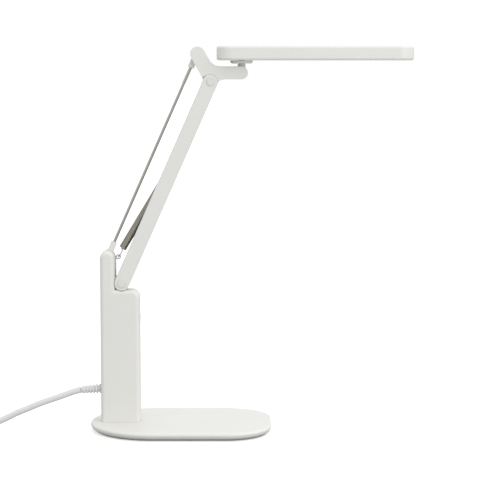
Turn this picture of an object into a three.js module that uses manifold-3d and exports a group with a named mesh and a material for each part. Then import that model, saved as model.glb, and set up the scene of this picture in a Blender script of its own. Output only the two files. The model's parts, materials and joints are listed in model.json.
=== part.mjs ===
// Swing arm desk lamp: weighted base, hollow post, spring balanced parallel arm, levelling bracket and flat head.
// Millimetres, +Z up, +X towards the head; the lamp stands on z = 0.
import * as THREE from 'three';
import { mergeVertices } from 'three/addons/utils/BufferGeometryUtils.js';
import Module from 'manifold-3d';

const wasm = await Module();
wasm.setup();

// Driving dimensions
const GAP = 0.3;
const BASE = { left: -160.8, right: 20.8, halfDepth: 65.5, rightRadius: 46, leftRadius: 64 };
const BASE_UNDER = 0.7;
const BASE_TOP = 8.6;
const BASE_ROUND = 2.2;
const BASE_UNDERCUT = { inset: 5, height: 4.4 };
const BASE_PAN = 6.8;
const FOOT_RADIUS = 6;
const FOOT_HEIGHT = 1.5;
const POST = { left: -150.3, right: -110.8, halfDepth: 10.5, shoulder: 142.4, columnRight: -135.3, domeTop: 181.7 };
const POST_WALL = 2.2;
const POST_EDGE = 4.2;
const POST_CORNER = 8;
const PIVOT = new THREE.Vector2(-128.6, 148.7);
const LINK_OFFSET = new THREE.Vector2(-13.5, 27.8);
const ARM_LENGTH = 219.4;
const ARM_LEAN = THREE.MathUtils.degToRad(23.9);
const ARM_BACK = THREE.MathUtils.degToRad(-10);
const ARM_FORWARD = THREE.MathUtils.degToRad(40);
const ARM_HALF_WIDTH = 7.5;
const ARM_HALF_DEPTH = 9;
const ARM_CHEEK = 2.2;
const ARM_WEB = 1.8;
const PLATE_HALF = 5.6;
const BRACKET_HALF = 8.4;
const PIN_RADIUS = 2.5;
const ROD_RADIUS = 1.5;
const ROD_END_LENGTH = 15;
const ROD_END_HALF = 2.5;
const SPRING_FOOT = new THREE.Vector2(-132.3, 174.8);
const SPRING_PIN_HEIGHT = 140;
const SPRING_PIN_SIDE = 1.1;
const SPRING_RADIUS = 3.9;
const SPRING_SIDE = -0.8;
const SPRING_START = 9.3;
const SPRING_END = 96;
const TILT = new THREE.Vector2(30.8, 8.8);
const TILT_END_RADIUS = 6.35;
const HEAD = { left: -33.8, right: 160.8, halfDepth: 24, under: 370.5, top: 384.5, corner: 15, edge: 2.5 };
const HEAD_SEAM = 372;
const DISC_UNDER = 367.3;
const DISC_RADIUS = 11.1;
const SPIGOT_RADIUS = 3;
const BUTTON_HEIGHT = 114.2;
const BUTTON_PROUD = 0.35;
const BUTTON_RADIUS = 4.5;
const GLAND_HEIGHT = 41.7;
const GLAND_LENGTH = 23.7;
const GLAND_DROOP = THREE.MathUtils.degToRad(4);
const CORD_RADIUS = 3.2;
const COIL = { x: -305, y: 41, inner: 25, step: 37.8, outer: 44.2, layer: 6.4 };
const PLUG = { x: -346, start: 82.3, relief: 10, body: 28, axis: 7 };

// Where the free cord lies, from the strain relief to the coil, and from the coil to the plug
const CORD_ROUTE = [
  [-171, 0, 39.9], [-177, 0, 38.3], [-183.2, 0, 36.2], [-189, 0, 34.1], [-195, 0, 31.95], [-201, 0, 29.9],
  [-206.5, 0, 28], [-212.5, 0, 25.8], [-218.5, 0, 23.35], [-224, 0, 21], [-229.7, 0, 18.7], [-236, 0, 16.1],
  [-242, 0, 13.1], [-248, 0, 10.2], [-253.5, 0, 7.8], [-259, 0, 5.9], [-264.5, 0, 4.6], [-271, 0, 3.65],
  [-276.5, 0, 3.25], [-281.7, 0, 3.2],
];
const TAIL_ROUTE = [
  [-346, 64.3, 12.6], [-346, 68, 10.9], [-346, 72, 9.1], [-346, 77, 7.5], [-346, 81.6, 7],
];

const whitePlastic = { color: 0xdcdbd7, roughness: 0.45, metalness: 0 };
const polishedSteel = { color: 0x9a9a96, roughness: 0.25, metalness: 1 };
const plainSteel = { color: 0x77756f, roughness: 0.4, metalness: 1 };
const castMetal = { color: 0xa5a6a8, roughness: 0.5, metalness: 1 };
const rubber = { color: 0x2b2b2c, roughness: 0.85, metalness: 0 };
const cordPlastic = { color: 0xe1e2e6, roughness: 0.55, metalness: 0 };
const opal = { color: 0xf4f4ee, roughness: 0.5, metalness: 0 };
const boardGreen = { color: 0x3d6b4c, roughness: 0.6, metalness: 0 };

function piece(name, geometry, finish, parent) {
  const mesh = new THREE.Mesh(geometry, new THREE.MeshStandardMaterial(finish));
  mesh.name = name;
  parent.add(mesh);
  return mesh;
}

// Joining and cutting of closed solids
function toSolid(geometry) {
  const bare = geometry.clone();
  bare.deleteAttribute('normal');
  bare.deleteAttribute('uv');
  const merged = mergeVertices(bare, 1e-4);
  return new wasm.Manifold(new wasm.Mesh({
    numProp: 3,
    vertProperties: new Float32Array(merged.attributes.position.array),
    triVerts: new Uint32Array(merged.index.array),
  }));
}

function toGeometry(solid) {
  const mesh = solid.getMesh();
  const geometry = new THREE.BufferGeometry();
  geometry.setAttribute('position', new THREE.BufferAttribute(new Float32Array(mesh.vertProperties), 3));
  geometry.setIndex(new THREE.BufferAttribute(new Uint32Array(mesh.triVerts), 1));
  geometry.computeVertexNormals();
  return geometry;
}

function cut(geometry, ...tools) {
  let solid = toSolid(geometry);
  for (const tool of tools) {
    solid = solid.subtract(toSolid(tool));
  }
  return toGeometry(solid);
}

function join(...geometries) {
  let solid = toSolid(geometries[0]);
  for (const other of geometries.slice(1)) {
    solid = solid.add(toSolid(other));
  }
  return toGeometry(solid);
}

function keepInside(geometry, region) {
  return toGeometry(toSolid(geometry).intersect(toSolid(region)));
}

// Shapes drawn in the XZ plane and given a thickness along Y
function slab(shape, y0, y1, edge = 0, segments = 2) {
  const geometry = new THREE.ExtrudeGeometry(shape, {
    depth: y1 - y0 - 2 * edge,
    curveSegments: 10,
    bevelEnabled: edge > 0,
    bevelSize: edge,
    bevelOffset: -edge,
    bevelThickness: edge,
    bevelSegments: segments,
  });
  geometry.translate(0, 0, -y1 + edge);
  geometry.rotateX(Math.PI / 2);
  return geometry;
}

// Shapes drawn in the XY plane and given a thickness along Z
function layer(shape, z0, z1, edge = 0, inset = edge) {
  const geometry = new THREE.ExtrudeGeometry(shape, {
    depth: z1 - z0 - 2 * edge,
    curveSegments: 10,
    bevelEnabled: edge > 0,
    bevelSize: inset,
    bevelOffset: -inset,
    bevelThickness: edge,
    bevelSegments: 2,
  });
  geometry.translate(0, 0, z0 + edge);
  return geometry;
}

function block(x0, x1, y0, y1, z0, z1) {
  const geometry = new THREE.BoxGeometry(x1 - x0, y1 - y0, z1 - z0);
  geometry.translate((x0 + x1) / 2, (y0 + y1) / 2, (z0 + z1) / 2);
  return geometry;
}

function pinY(radius, y0, y1, x, z, sides = 20) {
  const geometry = new THREE.CylinderGeometry(radius, radius, y1 - y0, sides);
  geometry.translate(x, (y0 + y1) / 2, z);
  return geometry;
}

function pinZ(radius, z0, z1, x, y, sides = 20) {
  const geometry = new THREE.CylinderGeometry(radius, radius, z1 - z0, sides);
  geometry.rotateX(Math.PI / 2);
  geometry.translate(x, y, (z0 + z1) / 2);
  return geometry;
}

function pinX(radius, x0, x1, y, z, sides = 20) {
  const geometry = new THREE.CylinderGeometry(radius, radius, x1 - x0, sides);
  geometry.rotateZ(-Math.PI / 2);
  geometry.translate((x0 + x1) / 2, y, z);
  return geometry;
}

function turned(profile, sides = 24) {
  const geometry = new THREE.LatheGeometry(profile.map(([r, h]) => new THREE.Vector2(r, h)), sides);
  geometry.rotateX(Math.PI / 2);
  return geometry;
}

function capsule(halfWidth, length) {
  const shape = new THREE.Shape();
  shape.moveTo(halfWidth, 0);
  shape.lineTo(halfWidth, length);
  shape.absarc(0, length, halfWidth, 0, Math.PI, false);
  shape.lineTo(-halfWidth, 0);
  shape.absarc(0, 0, halfWidth, Math.PI, 2 * Math.PI, false);
  return shape;
}

function disc(radius) {
  const shape = new THREE.Shape();
  shape.absarc(0, 0, radius, 0, 2 * Math.PI, false);
  return shape;
}

function washerY(inner, outer, y0, y1, x, z) {
  return cut(pinY(outer, y0, y1, x, z), pinY(inner, y0 - 1, y1 + 1, x, z));
}

function tube(points, radius, sides, steps) {
  const path = new THREE.CatmullRomCurve3(points.map((p) => new THREE.Vector3(...p)));
  const section = new THREE.Shape();
  for (let i = 0; i < sides; i += 1) {
    const angle = (2 * Math.PI * i) / sides;
    const place = [radius * Math.cos(angle), radius * Math.sin(angle)];
    if (i === 0) {
      section.moveTo(...place);
    } else {
      section.lineTo(...place);
    }
  }
  section.closePath();
  return new THREE.ExtrudeGeometry(section, { extrudePath: path, steps });
}

function leaningGroup(pivot, lean, parent) {
  const group = new THREE.Group();
  group.position.set(pivot.x, 0, pivot.y);
  group.rotation.y = lean;
  parent.add(group);
  return group;
}

// The space swept by a bar that turns about the origin between two leans
function sweptBar(halfWidth, length, lean0, lean1, y0, y1) {
  const along = (lean, reach) => [reach * Math.sin(lean), reach * Math.cos(lean)];
  const [farX, farZ] = along((lean0 + lean1) / 2, 1.3 * length);
  const [backX, backZ] = along(lean0, length);
  const [frontX, frontZ] = along(lean1, length);
  const shape = new THREE.Shape();
  shape.moveTo(-halfWidth * Math.cos(lean0), halfWidth * Math.sin(lean0));
  shape.lineTo(backX - halfWidth * Math.cos(lean0), backZ + halfWidth * Math.sin(lean0));
  shape.lineTo(farX, farZ);
  shape.lineTo(frontX + halfWidth * Math.cos(lean1), frontZ - halfWidth * Math.sin(lean1));
  shape.lineTo(halfWidth * Math.cos(lean1), -halfWidth * Math.sin(lean1));
  shape.absarc(0, 0, halfWidth, -lean1, -Math.PI - lean0, true);
  return slab(shape, y0, y1);
}

// Base
function baseOutline(inset) {
  const left = BASE.left + inset;
  const right = BASE.right - inset;
  const half = BASE.halfDepth - inset;
  const rightRadius = BASE.rightRadius - inset;
  const leftRadius = BASE.leftRadius - inset;
  const shape = new THREE.Shape();
  shape.moveTo(left + leftRadius, -half);
  shape.lineTo(right - rightRadius, -half);
  shape.absarc(right - rightRadius, -half + rightRadius, rightRadius, -Math.PI / 2, 0, false);
  shape.absarc(right - rightRadius, half - rightRadius, rightRadius, 0, Math.PI / 2, false);
  shape.absarc(left + leftRadius, half - leftRadius, leftRadius, Math.PI / 2, Math.PI, false);
  shape.absarc(left + leftRadius, -half + leftRadius, leftRadius, Math.PI, 1.5 * Math.PI, false);
  return shape;
}

const mountScrews = [-135, -125];
const bottomScrews = [[-110, 0], [-40, 30], [-40, -30]];
const feet = [[-75, -50], [-75, 50], [-141, 0], [-4, -28], [-4, 28]];

function addBase(parent) {
  const cavityTop = 7.2;
  const plateTop = BASE_UNDER + 0.9;
  const ballastTop = 6.9;
  const beyond = 6;
  const screwHoles = (radius, z0, z1) => mountScrews.map((x) => pinZ(radius, z0, z1, x, 0, 16));
  const cover = cut(
    keepInside(
      layer(baseOutline(0), BASE_UNDER - beyond, BASE_TOP, BASE_ROUND),
      layer(baseOutline(0), BASE_UNDER, BASE_TOP + beyond, BASE_UNDERCUT.height, BASE_UNDERCUT.inset),
    ),
    layer(baseOutline(BASE_PAN), BASE_UNDER - 1, cavityTop),
    ...screwHoles(2.3, cavityTop - 1, BASE_TOP + 1),
  );
  piece('base_cover', cover, whitePlastic, parent);
  const ballast = cut(
    layer(baseOutline(BASE_PAN + 2 * GAP), plateTop + GAP, ballastTop),
    ...screwHoles(2.3, 1, BASE_TOP),
    ...screwHoles(4.3, 1, 4.2),
    ...bottomScrews.map(([x, y]) => pinZ(1.6, 1, BASE_TOP, x, y, 16)),
  );
  piece('ballast_plate', ballast, plainSteel, parent);
  const plate = cut(
    layer(baseOutline(BASE_PAN + GAP), BASE_UNDER, plateTop),
    ...bottomScrews.map(([x, y]) => pinZ(3, 0, 4, x, y, 16)),
    ...feet.map(([x, y]) => pinZ(FOOT_RADIUS + GAP, 0, 4, x, y)),
  );
  piece('bottom_plate', plate, rubber, parent);
  bottomScrews.forEach(([x, y], i) => {
    const screw = join(pinZ(2.6, BASE_UNDER, plateTop, x, y, 16), pinZ(1.2, plateTop - 0.2, 6.4, x, y, 12));
    piece(`bottom_screw_${i + 1}`, screw, plainSteel, parent);
  });
  mountScrews.forEach((x, i) => {
    const screw = join(pinZ(3.8, 2.5, 3.9, x, 0, 16), pinZ(1.9, 3.8, 20, x, 0, 12));
    piece(`post_mount_screw_${i + 1}`, screw, plainSteel, parent);
  });
  feet.forEach(([x, y], i) => {
    piece(`rubber_foot_${i + 1}`, pinZ(FOOT_RADIUS, 0, FOOT_HEIGHT, x, y), rubber, parent);
  });
}

// Post
const caseScrews = [60, 120];

function postOutline() {
  const domeRadius = (POST.columnRight - POST.left) / 2;
  const domeX = POST.left + domeRadius;
  const domeZ = POST.domeTop - domeRadius;
  const corner = POST_CORNER;
  const shape = new THREE.Shape();
  shape.moveTo(POST.left, BASE_TOP + GAP);
  shape.lineTo(POST.right, BASE_TOP + GAP);
  shape.lineTo(POST.right, POST.shoulder - corner);
  shape.absarc(POST.right - corner, POST.shoulder - corner, corner, 0, Math.PI / 2, false);
  shape.lineTo(POST.columnRight, POST.shoulder);
  shape.lineTo(POST.columnRight, domeZ);
  shape.absarc(domeX, domeZ, domeRadius, 0, Math.PI, false);
  shape.lineTo(POST.left, BASE_TOP + GAP);
  return shape;
}

function postHollows() {
  const inner = POST.halfDepth - POST_WALL;
  const notch = sweptBar(ARM_HALF_WIDTH + 0.5, 60, ARM_LEAN + ARM_BACK, ARM_LEAN + ARM_FORWARD, -20, 20);
  notch.translate(PIVOT.x, 0, PIVOT.y);
  const rodSlot = sweptBar(3.5, 40, ARM_LEAN + ARM_BACK, ARM_LEAN + ARM_FORWARD, -2.9, 2.9);
  rodSlot.translate(PIVOT.x + LINK_OFFSET.x, 0, PIVOT.y + LINK_OFFSET.y);
  return [
    block(POST.left + POST_WALL, POST.right - POST_WALL, -inner, inner, BASE_TOP - 1, PIVOT.y - 10.6),
    notch,
    block(PIVOT.x - 7.4, PIVOT.x + 5.6, -PLATE_HALF - GAP, PLATE_HALF + GAP, PIVOT.y - 17, PIVOT.y + 5),
    rodSlot,
    block(SPRING_FOOT.x - 5.6, SPRING_FOOT.x + 12, -1.2, 1.2, PIVOT.y + 4.5, SPRING_FOOT.y + 2.4),
    pinY(1.8, -9, 9, PIVOT.x + LINK_OFFSET.x, PIVOT.y + LINK_OFFSET.y, 16),
    pinX(4.9, -120, -100, 0, BUTTON_HEIGHT),
    pinX(4.1, -160, -140, 0, GLAND_HEIGHT),
    ...caseScrews.map((z) => pinY(1.8, 0, 12, -130, z, 16)),
    ...caseScrews.map((z) => pinY(3.3, 9.2, 12, -130, z, 16)),
  ];
}

function addPost(parent) {
  const whole = cut(slab(postOutline(), -POST.halfDepth, POST.halfDepth, POST_EDGE, 2), ...postHollows());
  const split = GAP / 2;
  piece('post_front_shell', keepInside(whole, block(-200, 0, -20, -split, 0, 250)), whitePlastic, parent);
  piece('post_back_shell', keepInside(whole, block(-200, 0, split, 20, 0, 250)), whitePlastic, parent);

  const tongue = capsule(PLATE_HALF, 22);
  const tongueSolid = slab(tongue, -PLATE_HALF, PLATE_HALF);
  tongueSolid.translate(PIVOT.x, 0, PIVOT.y - 22);
  const upright = cut(
    join(block(-140.5, -119, -PLATE_HALF, PLATE_HALF, BASE_TOP + 0.6, PIVOT.y - 12), tongueSolid),
    pinY(PIN_RADIUS + GAP, -10, 10, PIVOT.x, PIVOT.y),
    ...caseScrews.map((z) => pinY(1.8, 2, 12, -130, z, 16)),
    ...mountScrews.map((x) => pinZ(2.2, 0, 21, x, 0, 16)),
  );
  piece('post_upright', upright, castMetal, parent);
  caseScrews.forEach((z, i) => {
    const screw = join(pinY(2.9, 9.5, 10.3, -130, z, 16), pinY(1.5, 2.5, 9.6, -130, z, 12));
    piece(`case_screw_${i + 1}`, screw, plainSteel, parent);
  });
  piece('link_pin_lower', pinY(1.5, -8.8, 8.8, PIVOT.x + LINK_OFFSET.x, PIVOT.y + LINK_OFFSET.y, 16),
    plainSteel, parent);
  addSpringAnchor(parent);
  addSwitch(parent);
}

function addSpringAnchor(parent) {
  const eye = pinY(2.7, -0.7, 0.7, SPRING_FOOT.x, SPRING_FOOT.y);
  const stripLeft = SPRING_FOOT.x - 5;
  const stripRight = SPRING_FOOT.x - 1.9;
  const strip = block(stripLeft, stripRight, -0.7, 0.7, PIVOT.y + 5.5, SPRING_FOOT.y - 0.4);
  const anchor = cut(join(eye, strip), pinY(1.35, -3, 3, SPRING_FOOT.x, SPRING_FOOT.y, 16));
  piece('spring_anchor', anchor, plainSteel, parent);
}

function addSwitch(parent) {
  const button = join(
    pinX(BUTTON_RADIUS, POST.right - 1.6, POST.right + BUTTON_PROUD, 0, BUTTON_HEIGHT),
    pinX(BUTTON_RADIUS + 1.5, POST.right - POST_WALL - 1.6, POST.right - POST_WALL - 0.6, 0, BUTTON_HEIGHT),
    pinX(BUTTON_RADIUS - 0.6, POST.right - POST_WALL - 1, POST.right - 1.2, 0, BUTTON_HEIGHT),
  );
  piece('power_button', button, whitePlastic, parent);
  piece('switch_board', block(-118.5, -117, -6.5, 6.5, BUTTON_HEIGHT - 9, BUTTON_HEIGHT + 9), boardGreen, parent);
}

// Strain relief, cord, coil and plug
function glandProfile() {
  const ribs = 5;
  const neckEnd = 4.6;
  const pitch = (GLAND_LENGTH - neckEnd) / ribs;
  const profile = [[0, 0], [5.2, 0], [5.2, 1.2], [3.6, 1.4], [3.6, neckEnd]];
  for (let i = 0; i < ribs; i += 1) {
    const radius = 4.7 - 0.12 * i;
    const start = neckEnd + pitch * i;
    profile.push([radius, start + 0.2], [radius, start + pitch - 1.3], [3.4, start + pitch - 1.1]);
    profile.push([3.4, start + pitch]);
  }
  profile.push([0, GLAND_LENGTH]);
  return profile;
}

function addCord(parent) {
  const gland = turned(glandProfile(), 20);
  gland.rotateY(-Math.PI / 2 - GLAND_DROOP);
  gland.translate(POST.left + POST_WALL + 1.8, 0, GLAND_HEIGHT);
  piece('cord_gland', gland, cordPlastic, parent);
  piece('power_cord', tube(CORD_ROUTE, CORD_RADIUS, 10, 22), cordPlastic, parent);
  const ring = turned([
    [COIL.inner, 0], [COIL.outer, 0], [COIL.outer, 3 * COIL.layer], [COIL.step, 3 * COIL.layer],
    [COIL.step, 2 * COIL.layer], [COIL.inner, 2 * COIL.layer], [COIL.inner, 0],
  ], 40);
  ring.translate(COIL.x, COIL.y, 0);
  piece('power_cord_coil', ring, cordPlastic, parent);
  piece('power_cord_tail', tube(TAIL_ROUTE, CORD_RADIUS, 10, 5), cordPlastic, parent);
  addPlug(parent);
}

function addPlug(parent) {
  const reliefEnd = PLUG.start + PLUG.relief;
  const faceY = reliefEnd + PLUG.body;
  const relief = new THREE.CylinderGeometry(5, 3.4, PLUG.relief + 1, 16);
  relief.translate(PLUG.x, PLUG.start + (PLUG.relief + 1) / 2, PLUG.axis);
  const outline = new THREE.Shape();
  outline.moveTo(-7, 0);
  outline.lineTo(7, 0);
  outline.quadraticCurveTo(13, 8, 13, PLUG.body);
  outline.lineTo(-13, PLUG.body);
  outline.quadraticCurveTo(-13, 8, -7, 0);
  const body = layer(outline, 0, 2 * PLUG.axis, 2, 2);
  body.translate(PLUG.x, reliefEnd, 0);
  const sockets = [-9, 9].map((side) => pinY(2.3, faceY - 5, faceY + 5, PLUG.x + side, PLUG.axis, 12));
  piece('plug_body', cut(join(relief, body), ...sockets), cordPlastic, parent);
  [-9, 9].forEach((side, i) => {
    const pin = pinY(2, faceY - 4.7, faceY + 17, PLUG.x + side, PLUG.axis, 12);
    piece(`plug_pin_${i + 1}`, pin, polishedSteel, parent);
  });
}

// Arm and the parts that ride on it
function addPivotParts(prefix, z, capRadius, group) {
  piece(`${prefix}_pin`, pinY(PIN_RADIUS, -8.8, 8.8, 0, z), plainSteel, group);
  for (const [side, label] of [[-1, 'front'], [1, 'back']]) {
    const range = (a, b) => (side > 0 ? [a, b] : [-b, -a]);
    piece(`${prefix}_cap_${label}`, pinY(capRadius, ...range(9.3, 10.1), 0, z, 24), whitePlastic, group);
    piece(`${prefix}_washer_${label}`, washerY(2.9, 5.2, ...range(5.9, 6.5), 0, z), rubber, group);
  }
}

function addArm(parent) {
  const group = leaningGroup(PIVOT, ARM_LEAN, parent);
  const inner = ARM_HALF_DEPTH - ARM_CHEEK;
  const channel = cut(
    slab(capsule(ARM_HALF_WIDTH, ARM_LENGTH), -ARM_HALF_DEPTH, ARM_HALF_DEPTH, 1.2, 2),
    block(-20, ARM_HALF_WIDTH - ARM_WEB, -inner, inner, -20, ARM_LENGTH + 20),
    block(-20, 20, -inner, inner, -20, 9),
    block(-20, 20, -inner, inner, ARM_LENGTH - 16.5, ARM_LENGTH + 20),
    pinY(PIN_RADIUS + GAP, -12, 12, 0, 0),
    pinY(PIN_RADIUS + GAP, -12, 12, 0, ARM_LENGTH),
    pinY(1.8, -8.4, 8.4, SPRING_PIN_SIDE, SPRING_PIN_HEIGHT, 16),
  );
  piece('arm_channel', channel, whitePlastic, group);
  addPivotParts('lower_pivot', 0, 3.9, group);
  addPivotParts('upper_pivot', ARM_LENGTH, 3.7, group);
  piece('spring_pin', pinY(1.5, -8.2, 8.2, SPRING_PIN_SIDE, SPRING_PIN_HEIGHT, 16), plainSteel, group);
  const lead = [[4, 5.4, 12], [4, 5.6, 60], [4, 5.6, 110], [4, 5.6, 160], [4, 5.4, ARM_LENGTH - 18]];
  piece('arm_lead', tube(lead, 0.9, 8, 12), rubber, group);
}

// Balance spring with its hook, and the pull wire that slides in it
function springVector() {
  const pin = new THREE.Vector2(SPRING_PIN_SIDE, SPRING_PIN_HEIGHT);
  const along = new THREE.Vector2(Math.sin(ARM_LEAN), Math.cos(ARM_LEAN));
  const across = new THREE.Vector2(Math.cos(ARM_LEAN), -Math.sin(ARM_LEAN));
  const place = PIVOT.clone().addScaledVector(along, pin.y).addScaledVector(across, pin.x);
  return place.sub(SPRING_FOOT);
}

function addSpring(parent) {
  const reach = springVector();
  const lean = Math.atan2(reach.x, reach.y);
  const length = reach.length();
  const group = leaningGroup(SPRING_FOOT, lean, parent);
  const barrel = turned([
    [3.2, SPRING_START], [SPRING_RADIUS, SPRING_START], [SPRING_RADIUS, SPRING_END], [3.2, SPRING_END],
    [3.2, SPRING_START + 1.2], [0.6, SPRING_START + 1.2], [0.6, SPRING_START], [3.2, SPRING_START],
  ], 20);
  barrel.translate(SPRING_SIDE, 0, 0);
  const hook = tube([
    [2.2, -0.3, SPRING_START + 0.6], [1.4, -1.2, 7], [0.6, -2, 3.6], [0, -2, 1], [0, -0.9, 0], [0, 0.4, 0],
    [0, 1.7, 0.8],
  ], 0.5, 8, 14);
  piece('balance_spring', join(barrel, hook), plainSteel, group);
  const pullEye = washerY(1.9, 3, -0.6, 0.6, 0, length);
  const wire = pinZ(0.6, length - 40, length - 2.4, 0, 0, 10);
  piece('spring_pull_wire', join(pullEye, wire), plainSteel, group);
}

// Link rod with its two ends
function rodEnd(sign) {
  const outline = capsule(3, ROD_END_LENGTH);
  const plate = keepInside(
    slab(outline, -ROD_END_HALF, ROD_END_HALF, 0.6, 1),
    block(-5, 5, -5, 5, -6, ROD_END_LENGTH),
  );
  const end = cut(
    plate,
    pinY(1.8, -5, 5, 0, 0, 16),
    pinZ(ROD_RADIUS + 0.3, 6, ROD_END_LENGTH + 2, 0, 0, 14),
  );
  if (sign < 0) {
    end.rotateY(Math.PI);
  }
  return end;
}

function addLink(parent) {
  const group = leaningGroup(PIVOT.clone().add(LINK_OFFSET), ARM_LEAN, parent);
  piece('link_rod', pinZ(ROD_RADIUS, 6.4, ARM_LENGTH - 6.4, 0, 0, 14), polishedSteel, group);
  piece('rod_end_lower', rodEnd(1), whitePlastic, group);
  const upper = rodEnd(-1);
  upper.translate(0, 0, ARM_LENGTH);
  piece('rod_end_upper', upper, whitePlastic, group);
}

// Levelling bracket between the arm and the head; local origin at the upper pivot
function bracketOutline() {
  const shape = new THREE.Shape();
  const lobe = 7.2;
  const boss = 7.6;
  const bossEnd = 1.756 * Math.PI;
  shape.moveTo(boss * Math.cos(bossEnd) + 0.7, boss * Math.sin(bossEnd) + 0.9);
  shape.quadraticCurveTo(6.5, TILT.y - TILT_END_RADIUS, 15.5, TILT.y - TILT_END_RADIUS);
  shape.lineTo(TILT.x, TILT.y - TILT_END_RADIUS);
  shape.absarc(TILT.x, TILT.y, TILT_END_RADIUS, -Math.PI / 2, Math.PI / 2, false);
  shape.lineTo(12, TILT.y + TILT_END_RADIUS);
  shape.quadraticCurveTo(2.6, TILT.y + TILT_END_RADIUS, -0.63, 20.37);
  shape.quadraticCurveTo(-4.2, 27, -6.66, 31.16);
  shape.absarc(LINK_OFFSET.x + 0.7, LINK_OFFSET.y - 0.4, lobe, 0.55, Math.PI * 1.13, false);
  shape.absarc(0, 0, boss, 0.89 * Math.PI, bossEnd, false);
  return shape;
}

function addBracket(parent) {
  const group = new THREE.Group();
  group.position.set(
    PIVOT.x + ARM_LENGTH * Math.sin(ARM_LEAN), 0, PIVOT.y + ARM_LENGTH * Math.cos(ARM_LEAN),
  );
  parent.add(group);
  const swept = (halfWidth, length, y0, y1) => (
    sweptBar(halfWidth, length, Math.PI + ARM_LEAN + ARM_BACK, Math.PI + ARM_LEAN + ARM_FORWARD, y0, y1)
  );
  const rodSlot = swept(3.5, 32, -2.9, 2.9);
  rodSlot.translate(LINK_OFFSET.x, 0, LINK_OFFSET.y);
  const bracket = cut(
    slab(bracketOutline(), -BRACKET_HALF, BRACKET_HALF, 1.2, 1),
    rodSlot,
    swept(ARM_HALF_WIDTH + GAP, 40, PLATE_HALF, BRACKET_HALF + 2),
    swept(ARM_HALF_WIDTH + GAP, 40, -BRACKET_HALF - 2, -PLATE_HALF),
    block(TILT.x - 7, TILT.x + 12, -2.6, 2.6, TILT.y - 12, TILT.y + 12),
    pinY(PIN_RADIUS + GAP, -12, 12, 0, 0),
    pinY(1.8, -7.2, 12, LINK_OFFSET.x, LINK_OFFSET.y, 16),
    pinY(2.1, -7.2, 12, TILT.x, TILT.y, 16),
  );
  piece('head_bracket', bracket, whitePlastic, group);
  piece('link_pin_upper', pinY(1.5, -6.9, 8, LINK_OFFSET.x, LINK_OFFSET.y, 16), plainSteel, group);
  piece('tilt_pin', pinY(1.8, -6.9, 8, TILT.x, TILT.y, 16), plainSteel, group);
  return group.position;
}

// Tilt knuckle, swivel disc and head; placed from the tilt axis
function addTilt(parent, x, z) {
  const neck = new THREE.Shape();
  neck.moveTo(-3.9, 0);
  neck.lineTo(3.9, 0);
  neck.lineTo(3.9, DISC_UNDER - GAP - z);
  neck.lineTo(-3.9, DISC_UNDER - GAP - z);
  neck.closePath();
  const collarFoot = 6.75;
  const collar = new THREE.CylinderGeometry(3.9, 3.3, DISC_UNDER - GAP - z - collarFoot, 20);
  collar.rotateX(Math.PI / 2);
  collar.translate(0, 0, (DISC_UNDER - GAP - z + collarFoot) / 2);
  const knuckle = cut(
    join(
      collar,
      slab(disc(5.7), -2.3, 2.3),
      slab(neck, -2.3, 2.3),
      pinZ(SPIGOT_RADIUS, DISC_UNDER - z - 1.5, HEAD_SEAM + 3.4 - z, 0, 0),
    ),
    pinY(2.1, -5, 5, 0, 0, 16),
  );
  knuckle.translate(x, 0, z);
  piece('tilt_knuckle', knuckle, castMetal, parent);

  const discTop = HEAD.under - GAP;
  const bore = SPIGOT_RADIUS + GAP;
  const plate = turned([
    [bore, DISC_UNDER], [0.65 * DISC_RADIUS, DISC_UNDER], [0.87 * DISC_RADIUS, DISC_UNDER + 0.6],
    [0.98 * DISC_RADIUS, DISC_UNDER + 1.5], [DISC_RADIUS, DISC_UNDER + 2.3], [DISC_RADIUS, discTop],
    [bore, discTop], [bore, DISC_UNDER],
  ], 32);
  plate.translate(x, 0, 0);
  piece('swivel_disc', plate, whitePlastic, parent);

  const nut = turned([
    [bore, HEAD_SEAM + GAP], [6.5, HEAD_SEAM + GAP], [6.5, HEAD_SEAM + 2.4], [bore, HEAD_SEAM + 2.4],
    [bore, HEAD_SEAM + GAP],
  ], 16);
  nut.translate(x, 0, 0);
  piece('swivel_nut', nut, plainSteel, parent);
}

function headOutline(inset, left = HEAD.left, corner = HEAD.corner) {
  const x0 = left + inset;
  const x1 = HEAD.right - inset;
  const half = HEAD.halfDepth - inset;
  const radius = Math.max(corner - inset, 1);
  const shape = new THREE.Shape();
  shape.moveTo(x0 + radius, -half);
  shape.absarc(x1 - radius, -half + radius, radius, -Math.PI / 2, 0, false);
  shape.absarc(x1 - radius, half - radius, radius, 0, Math.PI / 2, false);
  shape.absarc(x0 + radius, half - radius, radius, Math.PI / 2, Math.PI, false);
  shape.absarc(x0 + radius, -half + radius, radius, Math.PI, 1.5 * Math.PI, false);
  return shape;
}

function addHead(parent, swivelX) {
  const whole = layer(headOutline(0), HEAD.under, HEAD.top, HEAD.edge, 2);
  const windowLeft = 4;
  const upper = keepInside(whole, block(-60, 200, -40, 40, HEAD_SEAM + GAP, HEAD.top + 5));
  const shell = cut(upper, layer(headOutline(1.8), HEAD.under, HEAD.top - 1.8));
  piece('head_shell', shell, whitePlastic, parent);
  const lower = keepInside(whole, block(-60, 200, -40, 40, HEAD.under - 5, HEAD_SEAM));
  const frame = cut(
    lower,
    layer(headOutline(4.6, windowLeft, 12), HEAD.under - 2, HEAD.top),
    pinZ(SPIGOT_RADIUS + GAP, HEAD.under - 2, HEAD.top, swivelX, 0),
  );
  piece('head_frame', frame, whitePlastic, parent);
  const diffuser = layer(headOutline(5, windowLeft, 12), HEAD.under + 0.2, HEAD_SEAM + 1);
  piece('diffuser', diffuser, opal, parent);
  piece('led_board', block(10, 150, -17, 17, HEAD.top - 5.9, HEAD.top - 4.7), opal, parent);
}

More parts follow.
